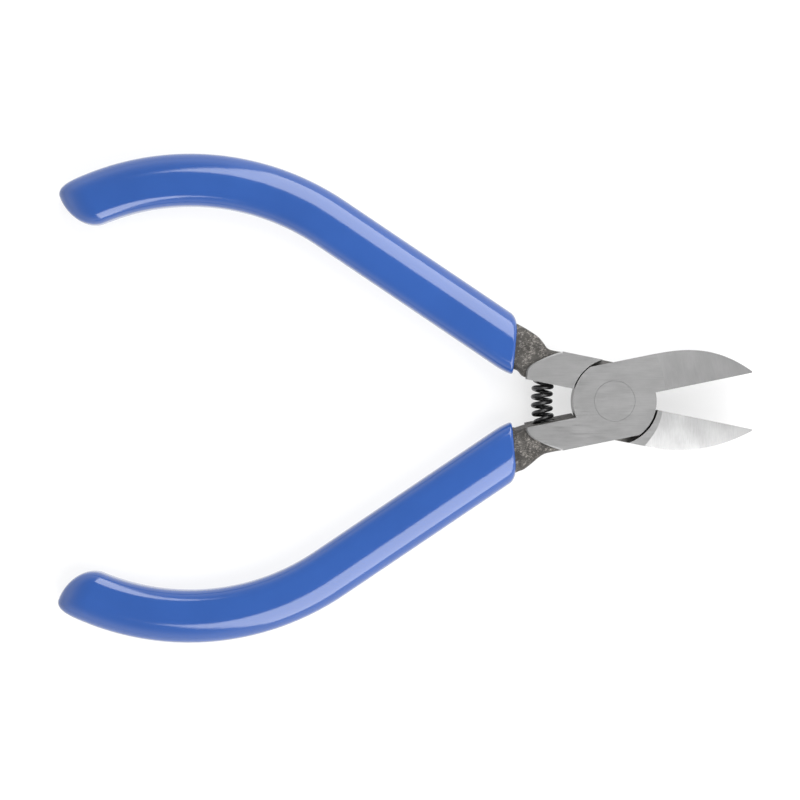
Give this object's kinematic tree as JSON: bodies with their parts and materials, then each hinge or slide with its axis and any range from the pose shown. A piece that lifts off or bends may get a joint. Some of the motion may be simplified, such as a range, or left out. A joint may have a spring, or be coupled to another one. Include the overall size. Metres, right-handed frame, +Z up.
{
  "type": "flush cutter",
  "caption": "Small spring-opened flush cutter with a riveted lap joint, short pointed jaws, a coil spring between the arms and curved handles dipped in blue vinyl.",
  "frame": {"origin": "pivot rivet's axis at the head's flat back face, which lies on the bench", "axes": "+X along the tool towards the jaw tips, +Y across it towards the rear half's handle, +Z up along the rivet towards the front face"},
  "size_m": [0.1102, 0.0777, 0.008],
  "materials": {
    "ground_steel": "ground",
    "rivet_steel": "ground flush",
    "blackened_wire": "black oxide",
    "blue_vinyl": "gloss, dipped"
  },
  "bodies": {
    "front": {"front_half": "ground_steel", "pivot_rivet": "rivet_steel", "return_spring": "blackened_wire", "front_grip": "blue_vinyl"},
    "rear": {"rear_half": "ground_steel", "rear_grip": "blue_vinyl"}
  },
  "joints": [
    {"name": "pivot", "type": "hinge", "parent": "front", "child": "rear", "pos_m": [0, 0, 0.004], "axis": [0, 0, 1], "range_deg": [0, 22.9], "stiffness_Nm_per_rad": 1.8, "deforming": ["return_spring"]}
  ]
}
